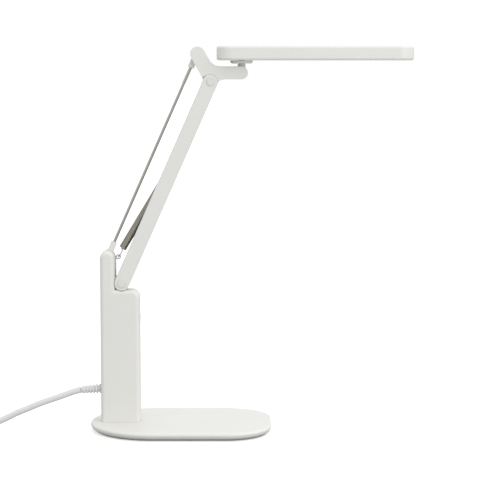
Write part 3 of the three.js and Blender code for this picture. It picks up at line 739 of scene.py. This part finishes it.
class DESKLAMP_OT_cord_fittings(Operator):
    """Adds the strain relief, the coil's tie and the moulded plug"""

    bl_idname = "desk_lamp.cord_fittings"
    bl_label = "Cord Fittings"

    def execute(self, context):
        self.add_relief()
        self.add_tie()
        self.add_plug()
        paint("polished_rod", "plug_pin_1", "plug_pin_2")
        return {"FINISHED"}

    def add_relief(self):
        low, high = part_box("cord_gland")
        length = high.x - low.x - 0.3 * MM
        ribs = settings().relief_ribs
        neck = 4.5 * MM
        pitch = (length - neck) / ribs
        profile = [(0, 0), (5.1 * MM, 0), (5.1 * MM, 1.2 * MM), (3.6 * MM, 1.4 * MM), (3.6 * MM, neck)]
        for i in range(ribs):
            radius = (4.7 - 0.1 * i) * MM
            start = neck + pitch * i
            profile += [(radius - 0.25 * MM, start + 0.04 * pitch), (radius, start + 0.14 * pitch)]
            profile += [(radius, start + 0.44 * pitch), (radius - 0.25 * MM, start + 0.54 * pitch)]
            profile += [(3.3 * MM, start + 0.56 * pitch), (3.3 * MM, start + 0.98 * pitch)]
        profile[-1] = (3.3 * MM, length)
        profile += [(3.25 * MM, length + 0.5 * MM), (0, length + 0.5 * MM)]
        relief = turned(profile, 48)
        droop = math.radians(4)
        start = Vector((high.x - 0.15 * MM, 0, CORD_EXIT))
        place(relief, (0, -math.pi / 2 - droop, 0), start)
        add_piece("strain_relief", relief, "base", "cord_pvc", ["cord_gland"])

    def add_tie(self):
        outer = 44.7 * MM
        inner = 24.5 * MM
        ring = [(inner, 0.05 * MM), (outer, 0.05 * MM), (outer, 19.6 * MM), (inner, 19.6 * MM)]
        inside = [(inner + 0.4 * MM, 0.5 * MM), (outer - 0.4 * MM, 0.5 * MM)]
        inside += [(outer - 0.4 * MM, 19.3 * MM), (inner + 0.4 * MM, 19.3 * MM)]
        width = 2 * MM
        band = carved(prism(ring, -width, width), prism(inside, -2 * width, 2 * width))
        soften(band, 0.12 * MM, 2)
        place(band, (0, 0, math.radians(35)), COIL_CENTRE)
        add_piece("coil_tie", band, "base", "foot_rubber")

    def add_plug(self):
        low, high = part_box("plug_body")
        middle = (low.x + high.x) / 2
        axis = (low.z + high.z) / 2
        relief = 10 * MM
        body = high.y - low.y - relief
        half = (high.x - low.x) / 2
        neck = 7 * MM
        outline = bend((neck, 0), (half, 8 * MM), (half, body), 14)
        outline += bend((-half, body), (-half, 8 * MM), (-neck, 0), 14)
        moulding = prism(outline, 0, 2 * axis, "Z")
        round_rims(moulding, 2, (0, 2 * axis), 3 * MM, 5)
        grips = []
        for i in range(5):
            y = (6 + 2.6 * i) * MM
            for side in (-1, 1):
                x = side * (half + 0.6 * MM)
                grips.append(pin(1.2 * MM, (x, y, -1 * MM), (x, y, 2 * axis + 1 * MM), 16))
        profile = [(0, 0), (3.5 * MM, 0), (3.6 * MM, 0.5 * MM)]
        for i in range(3):
            start = (1.2 + 2.8 * i) * MM
            radius = (4.0 + 0.45 * i) * MM
            profile += [(radius, start), (radius, start + 1.5 * MM), (3.5 * MM, start + 1.7 * MM)]
            profile += [(3.5 * MM, start + 2.6 * MM)]
        profile += [(5 * MM, relief), (5 * MM, relief + 2 * MM), (0, relief + 2 * MM)]
        sleeve = place(turned(profile, 32), (-math.pi / 2, 0, 0), (0, -relief, axis))
        moulding = merged(carved(moulding, *grips), sleeve)
        holes = [
            pin(2.2 * MM, (side * 9 * MM, body - 5 * MM, axis), (side * 9 * MM, body + 5 * MM, axis), 24)
            for side in (-1, 1)
        ]
        moulding = carved(moulding, *holes)
        place(moulding, (0, 0, 0), (middle, low.y + relief, 0))
        add_piece("plug_moulding", moulding, "base", "cord_pvc", ["plug_body"])


class DESKLAMP_OT_base(Operator):
    """Adds the weighted base with its cover, bottom plate, feet and screws"""

    bl_idname = "desk_lamp.base"
    bl_label = "Base"

    def execute(self, context):
        low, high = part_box("base_cover")
        self.low, self.high = low, high
        cover = self.shell(2.2 * MM, 5 * MM, 4.1 * MM)
        cover = carved(cover, self.slab(6.8 * MM, low.z - 1 * MM, high.z - 1.5 * MM))
        add_casing("base_shell", cover, "base", "base_cover")
        plate_low, plate_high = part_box("bottom_plate")
        plate = self.slab(7.1 * MM, plate_low.z, plate_high.z)
        feet = [name for name in frame["nodes"] if name.startswith("rubber_foot")]
        screws = [name for name in frame["nodes"] if name.startswith("bottom_screw")]
        holes = [self.hole(name, 6.25 * MM, 40) for name in feet]
        holes += [self.hole(name, 2.9 * MM, 32) for name in screws]
        plate = soften(carved(plate, *holes), 0.15 * MM, 2)
        add_casing("base_underside", plate, "base", "bottom_plate")
        for i, name in enumerate(feet):
            self.add_foot(name, i + 1)
        for i, name in enumerate(screws):
            self.add_screw(name, i + 1)
        paint("turned_steel", "ballast_plate", "post_mount_screw_1", "post_mount_screw_2")
        return {"FINISHED"}

    def outline(self, inset):
        low, high = self.low, self.high
        return plan_outline(
            low.x + inset, high.x - inset, high.y - inset, 64 * MM - inset, 46 * MM - inset, 40,
        )

    def slab(self, inset, bottom, top):
        return prism(self.outline(inset), bottom, top, "Z")

    def shell(self, top_round, undercut, undercut_height):
        """The cover's outer form: rings that follow a round shoulder and a deep round under edge."""
        rings = []
        steps = 8
        foot = (undercut, self.low.z)
        turn = (0.2 * undercut, self.low.z + 0.75 * undercut_height)
        wall = (0, self.low.z + 1.25 * undercut_height)
        rings += [foot] + bend((0.3 * undercut, self.low.z + 0.65 * undercut_height), turn, wall, 6)
        for i in range(steps + 1):
            angle = math.pi / 2 * i / steps
            height = self.high.z - top_round * (1 - math.sin(angle))
            rings.append((top_round * (1 - math.cos(angle)), height))
        bm = bmesh.new()
        loops = []
        for inset, height in rings:
            loop = [bm.verts.new((x, y, height)) for x, y in self.outline(inset)]
            loops.append([bm.edges.new(pair) for pair in zip(loop, loop[1:] + loop[:1])])
        for lower, upper in zip(loops, loops[1:]):
            bmesh.ops.bridge_loops(bm, edges=lower + upper)
        bmesh.ops.holes_fill(bm, edges=loops[0] + loops[-1], sides=0)
        bmesh.ops.remove_doubles(bm, verts=bm.verts, dist=1e-7)
        bmesh.ops.recalc_face_normals(bm, faces=bm.faces)
        return bm

    def hole(self, name, radius, sides):
        x, y = middle_of(name).xy
        return pin(radius, (x, y, -1 * MM), (x, y, 4 * MM), sides)

    def add_foot(self, name, number):
        low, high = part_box(name)
        centre = middle_of(name)
        radius = (high.x - low.x) / 2
        profile = [(0, 0), (radius - 0.8 * MM, 0), (radius - 0.25 * MM, 0.2 * MM), (radius, 0.7 * MM)]
        profile += [(radius, high.z), (0, high.z)]
        foot = place(turned(profile, 40), move=(centre.x, centre.y, 0))
        add_piece(f"foot_pad_{number}", foot, "base", "foot_rubber", [name])

    def add_screw(self, name, number):
        low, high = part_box(name)
        centre = middle_of(name)
        head = place(screw_head(2.6 * MM, 0.9 * MM, 0.6 * MM), (math.pi, 0, 0), (centre.x, centre.y, low.z))
        start = (centre.x, centre.y, low.z + 0.8 * MM)
        add_screw(f"underside_screw_{number}", name, 1.15 * MM, head, start, (centre.x, centre.y, high.z))


class DESKLAMP_OT_post(Operator):
    """Adds the two halves of the post, the button and the fittings on it"""

    bl_idname = "desk_lamp.post"
    bl_label = "Post"

    def execute(self, context):
        front_low, front_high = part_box("post_front_shell")
        _, back_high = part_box("post_back_shell")
        self.left, self.right = front_low.x, front_high.x
        self.bottom, self.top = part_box("base_cover")[1].z + 0.05 * MM, front_high.z
        self.half = back_high.y
        whole = prism(self.outline(), -self.half, self.half)
        round_rims(whole, 1, (-self.half, self.half), settings().post_round, 6)
        whole = carved(whole, *self.hollows())
        mesh = as_mesh("whole_post", whole)
        for name, node, low, high in (
            ("post_cover_front", "post_front_shell", -20 * MM, -0.12 * MM),
            ("post_cover_back", "post_back_shell", 0.12 * MM, 20 * MM),
        ):
            half = bmesh.new()
            half.from_mesh(mesh)
            half = kept_inside(half, block((-0.2, low, 0), (0, high, 0.25)))
            half = soften(half, 0.25 * MM, 2, 50)
            add_casing(name, half, "base", node)
        self.add_button()
        self.add_case_screws()
        paint("zinc_casting", "post_upright")
        paint("turned_steel", "link_pin_lower")
        paint("green_board", "switch_board")
        return {"FINISHED"}

    def outline(self):
        shoulder = 0.1424
        corner = 8 * MM
        radius = 7.5 * MM
        dome = self.top - radius
        points = [(self.left, self.bottom - 6 * MM), (self.right, self.bottom - 6 * MM)]
        points += arc((self.right - corner, shoulder - corner), corner, 0, 90, 16)
        points += [(self.left + 2 * radius, shoulder)]
        points += arc((self.left + radius, dome), radius, 0, 180, 40)
        return points

    def hollows(self):
        wall = 2.2 * MM
        inner = self.half - wall
        back, front = ARM_SWEEP
        notch = prism(swept_outline(7.8 * MM, 60 * MM, back, front), -0.02, 0.02)
        place(notch, move=(ARM_PIVOT.x, 0, ARM_PIVOT.z))
        slot = prism(swept_outline(3.5 * MM, 40 * MM, back, front), -2.9 * MM, 2.9 * MM)
        place(slot, move=(LINK_PIVOT.x, 0, LINK_PIVOT.z))
        height = middle_of("power_button").z
        tools = [
            block((-0.2, -0.05, -0.01), (0, 0.05, self.bottom)),
            block((self.left + wall, -inner, 0), (self.right - wall, inner, ARM_PIVOT.z - 10.6 * MM)),
            notch,
            self.opening(ARM_PIVOT, (-7.4, 5.6), 5.9, (-17, 5)),
            slot,
            self.opening(SPRING_FOOT, (-5.6, 12), 1.2, (-21.6, 2.4)),
            pin(4.9 * MM, (-0.12, 0, height), (-0.1, 0, height), 64),
            pin(4.0 * MM, (-0.16, 0, CORD_EXIT), (-0.14, 0, CORD_EXIT), 48),
        ]
        for z in (0.06, 0.12):
            tools.append(pin(1.8 * MM, (POST_MIDDLE, 0, z), (POST_MIDDLE, 0.02, z), 24))
            tools.append(pin(3.3 * MM, (POST_MIDDLE, 9.2 * MM, z), (POST_MIDDLE, 0.02, z), 40))
        return tools

    def opening(self, centre, across, half, up):
        """A box shaped cut, its sizes in millimetres from a pivot."""
        low = centre + Vector((across[0], -half, up[0])) * MM
        high = centre + Vector((across[1], half, up[1])) * MM
        return block(low, high)

    def add_button(self):
        low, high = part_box("power_button")
        height = (low.z + high.z) / 2
        depth = high.x - low.x
        face = 4.5 * MM
        neck = depth - 1.9 * MM
        profile = [(0, 0), (6 * MM, 0), (6 * MM, 1 * MM), (3.9 * MM, 1 * MM), (3.9 * MM, neck)]
        profile += [(face, neck), (face, depth - 0.5 * MM), (face - 0.15 * MM, depth - 0.15 * MM)]
        profile += [(face - 0.5 * MM, depth), (2.4 * MM, depth - 0.2 * MM), (0, depth - 0.3 * MM)]
        button = place(turned(profile, 48), (0, math.pi / 2, 0), (low.x, 0, height))
        add_piece("switch_button", button, "button", "cap_white", ["power_button"])

    def add_case_screws(self):
        for i, name in enumerate(("case_screw_1", "case_screw_2")):
            low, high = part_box(name)
            centre = middle_of(name)
            head = screw_head(2.9 * MM, 0.9 * MM, 0.6 * MM)
            place(head, (-math.pi / 2, 0, 0), (centre.x, high.y, centre.z))
            start = (centre.x, low.y, centre.z)
            end = (centre.x, high.y - 0.8 * MM, centre.z)
            add_screw(f"post_screw_{i + 1}", name, 1.45 * MM, head, start, end)


class DESKLAMP_OT_arm(Operator):
    """Adds the arm channel with its pivot caps"""

    bl_idname = "desk_lamp.arm"
    bl_label = "Arm"

    def execute(self, context):
        half_width = 7.5 * MM
        half_depth = 9 * MM
        inner = half_depth - 2.2 * MM
        web = 1.8 * MM
        channel = prism(bar_outline(half_width, ARM_LENGTH, 32), -half_depth, half_depth)
        round_rims(channel, 1, (-half_depth, half_depth), 1.3 * MM, 5)
        channel = carved(
            channel,
            block((-0.02, -inner, -0.02), (half_width - web, inner, ARM_LENGTH + 0.02)),
            block((-0.02, -inner, -0.02), (0.02, inner, 9 * MM)),
            block((-0.02, -inner, ARM_LENGTH - 16.5 * MM), (0.02, inner, ARM_LENGTH + 0.02)),
            pin(2.8 * MM, (0, -0.02, 0), (0, 0.02, 0), 40),
            pin(2.8 * MM, (0, -0.02, ARM_LENGTH), (0, 0.02, ARM_LENGTH), 40),
        )
        soften(channel, 0.2 * MM, 2, 60)
        add_casing("arm_shell", on_arm(channel), "arm", "arm_channel")
        for joint, height, radius in (("lower_pivot", 0, 3.9 * MM), ("upper_pivot", ARM_LENGTH, 3.7 * MM)):
            for side, label in ((-1, "front"), (1, "back")):
                profile = [(0, 0), (radius, 0), (radius, 0.45 * MM), (radius - 0.15 * MM, 0.7 * MM)]
                profile += [(radius - 0.5 * MM, 0.8 * MM), (0, 0.8 * MM)]
                cap = place(turned(profile, 48), (-side * math.pi / 2, 0, 0), (0, side * 9.3 * MM, height))
                add_piece(
                    f"{joint}_cover_{label}", on_arm(cap), "arm", "cap_white",
                    [f"{joint}_cap_{label}"],
                )
            paint("turned_steel", f"{joint}_pin")
            paint("foot_rubber", f"{joint}_washer_front", f"{joint}_washer_back")
        paint("turned_steel", "spring_pin")
        paint("foot_rubber", "arm_lead")
        return {"FINISHED"}


class DESKLAMP_OT_link(Operator):
    """Adds the polished link rod and its two moulded ends"""

    bl_idname = "desk_lamp.link"
    bl_label = "Link Rod"

    def execute(self, context):
        start, end = 6.4 * MM, ARM_LENGTH - 6.4 * MM
        rod = pin(1.5 * MM, (0, 0, start), (0, 0, end), 32)
        soften(rod, 0.3 * MM, 2, 60)
        place(rod, (0, ARM_LEAN, 0), LINK_PIVOT)
        add_piece("steel_link", rod, "link", "polished_rod", ["link_rod"])
        for node, flip, height in (("rod_end_lower", 0, 0), ("rod_end_upper", math.pi, ARM_LENGTH)):
            end_piece = place(self.rod_end(), (0, flip, 0), (0, 0, height))
            place(end_piece, (0, ARM_LEAN, 0), LINK_PIVOT)
            add_casing(f"{node}_moulding", end_piece, "link", node)
        return {"FINISHED"}

    def rod_end(self):
        half = 2.5 * MM
        reach = 15 * MM
        plate = prism(
            [(3 * MM, reach), (-3 * MM, reach)] + arc((0, 0), 3 * MM, 180, 360, 24), -half, half,
        )
        round_rims(plate, 1, (-half, half), 0.7 * MM, 4)
        end = carved(
            plate,
            pin(1.8 * MM, (0, -0.01, 0), (0, 0.01, 0), 32),
            pin(1.7 * MM, (0, 0, 6 * MM), (0, 0, reach + 2 * MM), 32),
        )
        return soften(end, 0.25 * MM, 2, 50)


class DESKLAMP_OT_spring(Operator):
    """Adds the close wound balance spring, its anchor and its pull wire"""

    bl_idname = "desk_lamp.spring"
    bl_label = "Balance Spring"

    def execute(self, context):
        wire = settings().spring_wire / 2
        outer = 3.9 * MM
        mean = outer - wire
        start, end = 9.3 * MM, 96 * MM
        pitch = 2 * wire * 1.01
        turns = int((end - start) / pitch) - 1
        side = -0.8 * MM
        coil = place(self.winding(mean, wire * 0.98, start + wire, pitch, turns), move=(side, 0, 0))
        hook = self.hook(mean, wire, start, side)
        spring = joined(coil, hook)
        place(spring, (0, SPRING_LEAN, 0), SPRING_FOOT)
        add_piece(
            "wound_spring", spring, "spring", "spring_wire", ["balance_spring"], 60,
        )
        self.add_anchor()
        paint("spring_wire", "spring_pull_wire")
        return {"FINISHED"}

    def winding(self, mean, wire, start, pitch, turns):
        """A helix of round wire, made by a screw motion."""
        bm = bmesh.new()
        matrix = Matrix.Translation((mean, 0, start)) @ Matrix.Rotation(math.pi / 2, 4, "X")
        circle = bmesh.ops.create_circle(bm, cap_ends=True, segments=8, radius=wire, matrix=matrix)
        steps = 20
        bmesh.ops.spin(
            bm, geom=circle["verts"] + list(bm.edges) + list(bm.faces), cent=(0, 0, 0), axis=(0, 0, 1),
            dvec=(0, 0, pitch / steps), angle=2 * math.pi * turns, steps=steps * turns,
        )
        bmesh.ops.recalc_face_normals(bm, faces=bm.faces)
        return bm

    def hook(self, mean, wire, start, side):
        """The last turn bent inwards, down to the anchor's eye and through it."""
        points = []
        for i in range(9):
            angle = math.radians(-20 * i)
            reach = mean * (1 - 0.09 * i)
            height = start + wire - 0.03 * MM * i
            points.append((side + reach * math.cos(angle), reach * math.sin(angle), height))
        points += [(0.2 * MM, -1.2 * MM, 7.4 * MM), (0.5 * MM, -1.8 * MM, 5.2 * MM)]
        points += [(0.4 * MM, -2.0 * MM, 3 * MM), (0.1 * MM, -1.9 * MM, 1 * MM), (0, -1 * MM, 0.1 * MM)]
        points += [(0, 0, -0.1 * MM), (0, 1 * MM, 0.1 * MM), (0, 1.9 * MM, 1 * MM)]
        points.append((0.3 * MM, 1.9 * MM, 2.6 * MM))
        return tube_along(smooth_line(points, 4), 1.1 * wire, 12)

    def add_anchor(self):
        eye = turned([
            (1.3 * MM, -0.35 * MM), (1.6 * MM, -0.7 * MM), (2.4 * MM, -0.7 * MM), (2.7 * MM, -0.35 * MM),
            (2.7 * MM, 0.35 * MM), (2.4 * MM, 0.7 * MM), (1.6 * MM, 0.7 * MM), (1.3 * MM, 0.35 * MM),
        ], 40)
        place(eye, (math.pi / 2, 0, 0), SPRING_FOOT)
        strip = block(
            SPRING_FOOT + Vector((-5, -0.65, -20.6)) * MM, SPRING_FOOT + Vector((-1.9, 0.65, -0.4)) * MM,
        )
        soften(strip, 0.15 * MM, 2)
        hole = pin(1.4 * MM, SPRING_FOOT - Vector((0, 0.01, 0)), SPRING_FOOT + Vector((0, 0.01, 0)), 32)
        anchor = merged(eye, carved(strip, hole))
        add_piece("anchor_eye", anchor, "base", "zinc_plate", ["spring_anchor"])


class DESKLAMP_OT_bracket(Operator):
    """Adds the bracket that keeps the head level"""

    bl_idname = "desk_lamp.bracket"
    bl_label = "Head Bracket"

    def execute(self, context):
        half = 8.4 * MM
        hub = 5.6 * MM
        bracket = prism(self.outline(), -half, half)
        round_rims(bracket, 1, (-half, half), 1.6 * MM, 6)
        tilt = TILT_AXIS - BRACKET_PIVOT
        back, front = (180 + lean for lean in ARM_SWEEP)
        slot = prism(swept_outline(3.5 * MM, 32 * MM, back, front), -2.9 * MM, 2.9 * MM)
        place(slot, move=LINK_OFFSET)
        seat = swept_outline(7.56 * MM, 40 * MM, back, front)
        front_face = Vector((0, -7.2 * MM, 0))
        past_back = Vector((0, 0.02, 0))
        bracket = carved(
            bracket, slot, prism(seat, hub, 2 * half), prism(seat, -2 * half, -hub),
            block(tilt + Vector((-7, -2.6, -12)) * MM, tilt + Vector((12, 2.6, 12)) * MM),
            pin(2.8 * MM, (0, -0.02, 0), (0, 0.02, 0), 40),
            pin(1.7 * MM, LINK_OFFSET + front_face, LINK_OFFSET + past_back, 32),
            pin(2.0 * MM, tilt + front_face, tilt + past_back, 32),
        )
        soften(bracket, 0.2 * MM, 2, 55)
        place(bracket, move=BRACKET_PIVOT)
        add_casing("level_bracket", bracket, "bracket", "head_bracket")
        paint("turned_steel", "link_pin_upper", "tilt_pin")
        return {"FINISHED"}

    def outline(self):
        tilt = TILT_AXIS - BRACKET_PIVOT
        end = 6.35 * MM
        lobe = 7.2 * MM
        boss = 7.6 * MM
        boss_end = 316
        under = tilt.z - end
        top = tilt.z + end
        foot = arc((0, 0), boss, 160, boss_end, 32)
        start = (foot[-1][0] + 0.5 * MM, foot[-1][1] + 0.7 * MM)
        points = bend(start, (6.5 * MM, under), (15.5 * MM, under), 16)
        points += arc((tilt.x, tilt.z), end, -90, 90, 28)
        points += bend((12 * MM, top), (2.6 * MM, top), (-0.63 * MM, 20.37 * MM), 14)
        points += bend((-0.63 * MM, 20.37 * MM), (-4.2 * MM, 27 * MM), (-6.66 * MM, 31.16 * MM), 8)[1:]
        points += arc((LINK_OFFSET.x + 0.7 * MM, LINK_OFFSET.z - 0.4 * MM), lobe, 31.5, 203.4, 32)
        return points + foot


class DESKLAMP_OT_tilt(Operator):
    """Adds the tilt knuckle and the swivel disc under the head"""

    bl_idname = "desk_lamp.tilt"
    bl_label = "Tilt And Swivel"

    def execute(self, context):
        disc_low, disc_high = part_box("swivel_disc")
        _, knuckle_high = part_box("tilt_knuckle")
        under = disc_low.z - GAP - TILT_AXIS.z
        half = 2.3 * MM
        shape = [(3.9 * MM, under), (-3.9 * MM, under)]
        shape += [(-4.1 * MM, 3.9 * MM)] + arc((0, 0), 5.6 * MM, 136, 404, 40) + [(4.1 * MM, 3.9 * MM)]
        knuckle = prism(shape, -half, half)
        round_rims(knuckle, 1, (-half, half), 0.5 * MM, 3)
        collar = turned([
            (0, 6.75 * MM), (3.2 * MM, 6.75 * MM), (3.3 * MM, 6.9 * MM), (3.5 * MM, under - 0.9 * MM),
            (3.9 * MM, under - 0.15 * MM), (3.9 * MM, under), (0, under),
        ], 48)
        spigot = pin(3 * MM, (0, 0, under - 1.2 * MM), (0, 0, knuckle_high.z - TILT_AXIS.z), 40)
        knuckle = merged(knuckle, collar, spigot)
        knuckle = carved(knuckle, pin(2.1 * MM, (0, -0.01, 0), (0, 0.01, 0), 32))
        place(knuckle, move=TILT_AXIS)
        add_casing("tilt_neck", knuckle, "tilt", "tilt_knuckle")
        radius = (disc_high.x - disc_low.x) / 2
        bore = 3.3 * MM
        height = disc_high.z - disc_low.z
        profile = [(bore, 0), (0.8 * radius, 0)]
        profile += [
            (radius * (0.8 + 0.2 * math.sin(t)), height * 0.6 * (1 - math.cos(t)))
            for t in (math.pi / 2 * i / 8 for i in range(1, 9))
        ]
        profile += [(radius, height - 0.15 * MM), (radius - 0.15 * MM, height), (bore, height)]
        disc = place(turned(profile, 72), move=(TILT_AXIS.x, 0, disc_low.z))
        add_casing("swivel_dish", disc, "tilt", "swivel_disc")
        paint("turned_steel", "swivel_nut")
        return {"FINISHED"}


class DESKLAMP_OT_head(Operator):
    """Adds the head's shell, frame and opal diffuser"""

    bl_idname = "desk_lamp.head"
    bl_label = "Head"

    def execute(self, context):
        self.low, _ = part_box("head_frame")
        shell_low, self.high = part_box("head_shell")
        _, frame_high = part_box("head_frame")
        region_low = (-0.1, -0.05, shell_low.z - 0.12 * MM)
        shell = kept_inside(self.solid(), block(region_low, (0.2, 0.05, 0.4)))
        shell = carved(shell, self.plate(1.8 * MM, self.low.z, self.high.z - 1.8 * MM))
        rebate = self.plate(0.3 * MM, self.low.z, shell_low.z + 1.1 * MM)
        shell = carved(shell, rebate)
        soften(shell, 0.15 * MM, 2, 60)
        add_casing("head_casing", shell, "head", "head_shell")
        rim = kept_inside(self.solid(), block((-0.1, -0.05, 0.3), (0.2, 0.05, frame_high.z)))
        rim = merged(rim, self.plate(0.35 * MM, frame_high.z - 0.5 * MM, shell_low.z + 0.9 * MM))
        window = 4 * MM
        rim = carved(
            rim,
            self.plate(4.6 * MM, 0.36, 0.39, window, 12 * MM),
            pin(3.3 * MM, (TILT_AXIS.x, 0, 0.36), (TILT_AXIS.x, 0, 0.39), 40),
        )
        soften(rim, 0.15 * MM, 2, 60)
        add_casing("head_rim", rim, "head", "head_frame")
        cover_low, cover_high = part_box("diffuser")
        cover = self.plate(5 * MM, cover_low.z, cover_high.z, window, 12 * MM)
        round_rims(cover, 2, (cover_low.z,), 0.4 * MM, 3)
        add_piece("light_cover", cover, "head", "opal_cover", ["diffuser"])
        paint("white_board", "led_board")
        return {"FINISHED"}

    def plate(self, inset, bottom, top, left=None, corner=15 * MM):
        start = self.low.x if left is None else left
        radius = max(corner - inset, MM)
        outline = plan_outline(start + inset, self.high.x - inset, self.high.y - inset, radius, radius, 20)
        return prism(outline, bottom, top, "Z")

    def solid(self):
        whole = self.plate(0, self.low.z, self.high.z)
        return round_rims(whole, 2, (self.low.z, self.high.z), settings().head_round, 6)


class DESKLAMP_PT_panel(Panel):
    """Lists the lamp's sizes, colours and pieces"""

    bl_idname = "DESKLAMP_PT_panel"
    bl_label = "Desk Lamp"
    bl_space_type = "VIEW_3D"
    bl_region_type = "UI"
    bl_category = "Desk Lamp"

    def draw(self, context):
        props = context.scene.desk_lamp
        for name in props.bl_rna.properties.keys():
            if name not in {"rna_type", "name"}:
                self.layout.prop(props, name)
        for operator in OPERATORS:
            self.layout.operator(operator.bl_idname)


OPERATORS = (
    DESKLAMP_OT_stage,
    DESKLAMP_OT_cord_fittings,
    DESKLAMP_OT_cord,
    DESKLAMP_OT_base,
    DESKLAMP_OT_post,
    DESKLAMP_OT_arm,
    DESKLAMP_OT_link,
    DESKLAMP_OT_spring,
    DESKLAMP_OT_bracket,
    DESKLAMP_OT_tilt,
    DESKLAMP_OT_head,
)
CLASSES = (DeskLampSettings, *OPERATORS, DESKLAMP_PT_panel)


def register():
    for cls in CLASSES:
        bpy.utils.register_class(cls)
    bpy.types.Scene.desk_lamp = PointerProperty(type=DeskLampSettings)


def unregister():
    del bpy.types.Scene.desk_lamp
    for cls in reversed(CLASSES):
        bpy.utils.unregister_class(cls)


def main():
    register()
    bpy.ops.desk_lamp.stage()
    bpy.ops.desk_lamp.cord_fittings()
    bpy.ops.desk_lamp.cord()
    bpy.ops.desk_lamp.base()
    bpy.ops.desk_lamp.post()
    bpy.ops.desk_lamp.arm()
    bpy.ops.desk_lamp.link()
    bpy.ops.desk_lamp.spring()
    bpy.ops.desk_lamp.bracket()
    bpy.ops.desk_lamp.tilt()
    bpy.ops.desk_lamp.head()


if __name__ == "__main__":
    main()
